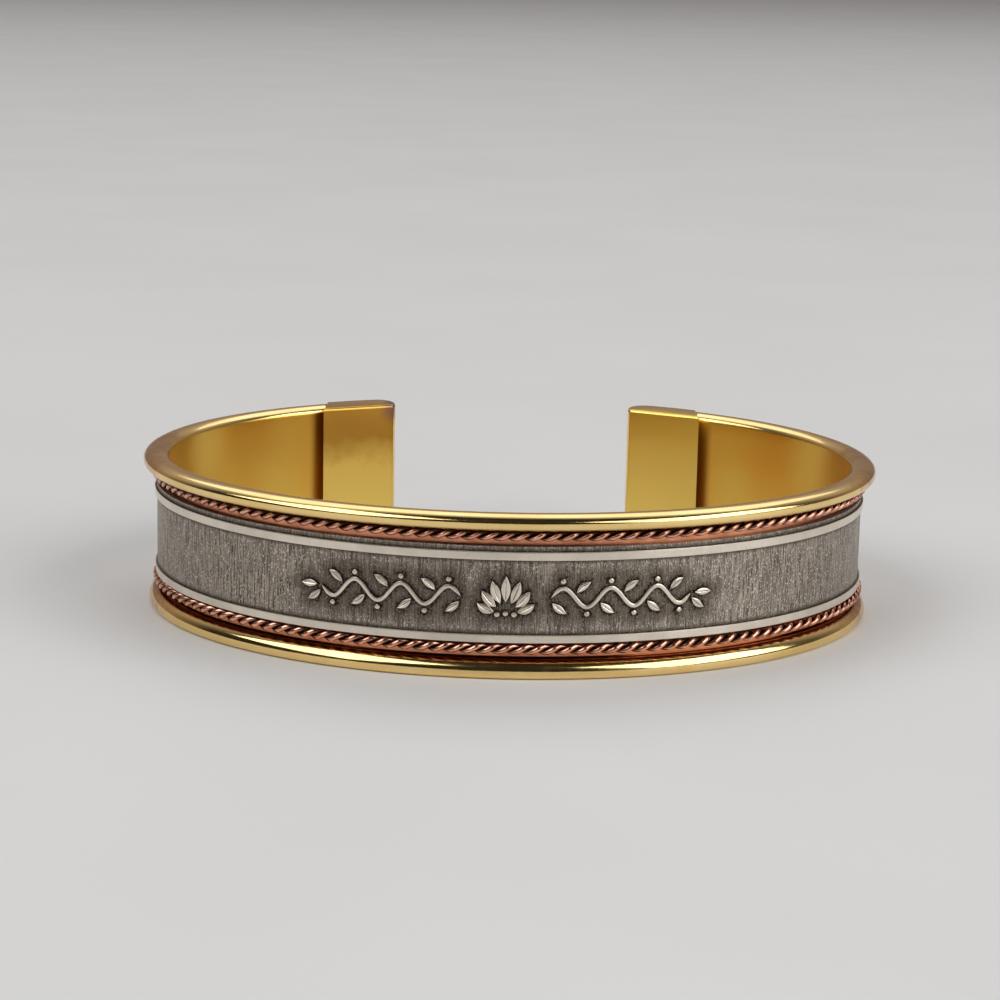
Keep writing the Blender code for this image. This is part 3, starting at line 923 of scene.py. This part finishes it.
def wire_material():
    """Drawn copper wire, bright on the crowns, with painted shade going brown to black down between
    the strands and on the side next to a rim.
    """
    sheet = Sheet(bpy.data.materials.new("copper_wire"))
    place = sheet.place()
    crevice_shade = sheet.attribute("crevice_shade")
    tarnish = sheet.noise(place, 1.3, 4.0, 0.6)
    deep_shade = sheet.math("ADD", crevice_shade, sheet.span(tarnish, 0.3, 0.7, -0.1, 0.1))
    colour = sheet.mix(sheet.span(tarnish, 0.35, 0.7), WIRE_BRIGHT, WIRE_BROWN)
    # Painted shade darkens the wire between the strands and on its side next to a rim.
    colour = sheet.mix(sheet.span(deep_shade, 0.02, 0.42), colour, WIRE_PAINTED_SHADE)
    roughness = sheet.math(
        "ADD", sheet.span(tarnish, 0.3, 0.7, 0.15, 0.22), sheet.span(deep_shade, 0.15, 0.6, 0.0, 0.3)
    )
    normal = sheet.bump(sheet.noise(place, 9.0, 3.0), 0.006 * MM, 0.5)
    return sheet.finish(colour, roughness, normal)


def field_colour(sheet, near, streaks, speckle, cloud):
    """Colours the field: pale and dark streaks, speckles, and dirt around the raised parts."""
    field = sheet.mix(sheet.span(streaks, 0.38, 0.62), FIELD_DARK, FIELD_PALE)
    field = sheet.mix(sheet.span(cloud, 0.38, 0.62, 0.0, 0.4), field, FIELD_CLOUD)
    field = sheet.mix(sheet.span(speckle, 0.58, 0.68, 0.0, 0.8), field, FIELD_SPECKLE)
    field = sheet.mix(sheet.span(near, 0.05, 0.7, 0.0, 0.75), field, FIELD_HALO)
    return sheet.mix(sheet.span(near, 0.8, 1.0), field, FIELD_OUTLINE)


def silver_material():
    """Oxidised silver-coloured metal: streaked grey field, dark halo and polished raised parts."""
    sheet = Sheet(bpy.data.materials.new("oxidised_silver"))
    place = sheet.place()
    streaks = sheet.noise(sheet.stretch(place, (8.0, 8.0, 0.55)), 1.0, 3.0, 0.6)
    speckle = sheet.noise(sheet.stretch(place, (1.0, 1.0, 0.6)), 9.0, 1.0, 0.5)
    cloud = sheet.noise(place, 0.35, 4.0)
    ragged = sheet.noise(place, 5.0, 4.0, 0.65)
    rough_edge = sheet.span(ragged, 0.36, 0.64, -0.16, 0.16)
    near = sheet.math("ADD", sheet.attribute("halo"), rough_edge)
    field = field_colour(sheet, near, streaks, speckle, cloud)
    bright = sheet.mix(sheet.span(cloud, 0.38, 0.62), SILVER_BRIGHT, SILVER_WORN)
    bright = sheet.mix(sheet.span(ragged, 0.6, 0.72, 0.0, 0.4), bright, SILVER_PATCH)
    lifted = sheet.span(sheet.math("ADD", sheet.attribute("polish"), rough_edge), 0.35, 0.75)
    colour = sheet.mix(lifted, field, bright)
    roughness = sheet.span(lifted, 0.0, 1.0, 0.42, 0.28)
    height = sheet.math("ADD", streaks, sheet.math("MULTIPLY", speckle, 0.6))
    rough = sheet.flip(sheet.math("MULTIPLY", lifted, 0.85))
    normal = sheet.bump(sheet.math("MULTIPLY", height, rough), 0.04 * MM, 1.0)
    return sheet.finish(colour, roughness, normal)


def floor_material():
    """Plain pale surface."""
    sheet = Sheet(bpy.data.materials.new("pale_floor"))
    place = sheet.place()
    tone = sheet.span(sheet.noise(place, 0.02, 2.0), 0.3, 0.7)
    colour = sheet.mix(tone, FLOOR_TONE, FLOOR_PALE)
    normal = sheet.bump(sheet.noise(place, 0.5, 3.0), 0.02 * MM, 0.2)
    material = sheet.finish(colour, 0.55, normal)
    shader = sheet.nodes["Principled BSDF"]
    shader.inputs["Metallic"].default_value = 0.0
    shader.inputs["Specular IOR Level"].default_value = 0.25
    return material


def make_floor():
    """Makes a wide pale floor."""
    reach = 3.2
    corners = ((-1, -1), (1, -1), (1, 1), (-1, 1))
    points = [(reach * x, reach * y, 0.0) for x, y in corners]
    data = bpy.data.meshes.new("floor")
    data.from_pydata(points, [], [(0, 1, 2, 3)])
    data.materials.append(floor_material())
    floor = bpy.data.objects.new("floor", data)
    bpy.context.scene.collection.objects.link(floor)


def area_light(name, azimuth, elevation, roll, size, radiance):
    """Makes a soft rectangular light that faces the cuff, as bright as radiance says.

    The azimuth is in degrees from the front towards the right, and roll turns the light about
    its own middle.
    """
    distance = 1.6
    turn = math.radians(azimuth)
    rise = math.radians(elevation)
    place = distance * Vector(
        (math.sin(turn) * math.cos(rise), -math.cos(turn) * math.cos(rise), math.sin(rise))
    )
    data = bpy.data.lights.new(name, "AREA")
    data.shape = "RECTANGLE"
    data.size, data.size_y = size
    data.energy = radiance * math.pi * size[0] * size[1]
    light = bpy.data.objects.new(name, data)
    bpy.context.scene.collection.objects.link(light)
    light.location = place
    facing = (-place).to_track_quat("-Z", "Y") @ Quaternion((0.0, 0.0, 1.0), math.radians(roll))
    light.rotation_euler = facing.to_euler()


def make_lights():
    """Makes a soft light high behind, and a large one in front on each side."""
    area_light("overhead", 180.0, 52.0, 0.0, (1.8, 1.0), 0.8)
    area_light("front_left", -58.0, 44.0, -24.0, (1.55, 1.1), 2.3)
    area_light("front_right", 60.0, 30.0, 10.0, (1.6, 1.3), 2.75)


def make_world():
    """Makes a studio that is dark in front, brown low down behind and pale high behind."""
    sheet = Sheet(bpy.data.worlds.new("studio"))
    direction = sheet.add("ShaderNodeTexCoord").outputs["Generated"]
    rise = sheet.along(direction, "Z")
    back = sheet.along(direction, "Y")
    behind = sheet.mix(sheet.span(rise, 0.3, 0.75), STUDIO_BROWN, STUDIO_GREY)
    low = sheet.mix(sheet.span(back, 0.1, 0.6), STUDIO_DARK, behind)
    high = sheet.mix(sheet.span(back, 0.0, 0.26), STUDIO_DARK, STUDIO_GREY)
    whole = sheet.mix(sheet.span(rise, 0.7, 0.92), low, high)
    background = sheet.nodes["Background"]
    sheet.links.new(whole, background.inputs["Color"])
    background.inputs["Strength"].default_value = 1.0
    bpy.context.scene.world = sheet.owner


def make_camera():
    """Makes the camera at the photograph's viewing angle."""
    distance = 240.0 * MM
    elevation = math.radians(12.991)
    pitch = elevation - math.radians(0.594)
    roll = math.radians(1.189)
    turn = math.radians(0.368)
    sensor = 36.0
    picture = 1000.0
    focal = 2645.7
    right = Vector((1.0, 0.0, 0.0))
    forward = Vector((0.0, math.cos(pitch), -math.sin(pitch)))
    up = right.cross(forward)
    place = Vector(
        (-0.79 * MM, -distance * math.cos(elevation), 7 * MM + distance * math.sin(elevation))
    )
    across = math.cos(roll) * right + math.sin(roll) * up
    upward = math.cos(roll) * up - math.sin(roll) * right
    pose = Matrix((across, upward, -forward)).transposed().to_4x4()
    pose.translation = place
    data = bpy.data.cameras.new("camera")
    data.sensor_fit = "HORIZONTAL"
    data.sensor_width = sensor
    data.lens = focal * sensor / picture
    data.clip_start = 0.01
    data.clip_end = 20.0
    camera = bpy.data.objects.new("camera", data)
    bpy.context.scene.collection.objects.link(camera)
    camera.matrix_world = Matrix.Rotation(turn, 4, "Z") @ pose
    bpy.context.scene.camera = camera


def main():
    """Makes the part's pieces, then the floor, the lights and the camera."""
    brass = brass_material()
    make_band(brass)
    make_copper_strip(copper_material())
    make_silver_strip(silver_material())
    wire = wire_material()
    make_rope("rope_top_detail", TOP_ROPE_HEIGHT, "rope_top", wire, 1)
    make_rope("rope_bottom_detail", BOTTOM_ROPE_HEIGHT, "rope_bottom", wire, -0.4)
    make_cap("end_cap_left_detail", -1, "end_cap_left", brass)
    make_cap("end_cap_right_detail", 1, "end_cap_right", brass)
    make_floor()
    make_lights()
    make_world()
    make_camera()
    bpy.context.scene.view_settings.view_transform = "Standard"


main()
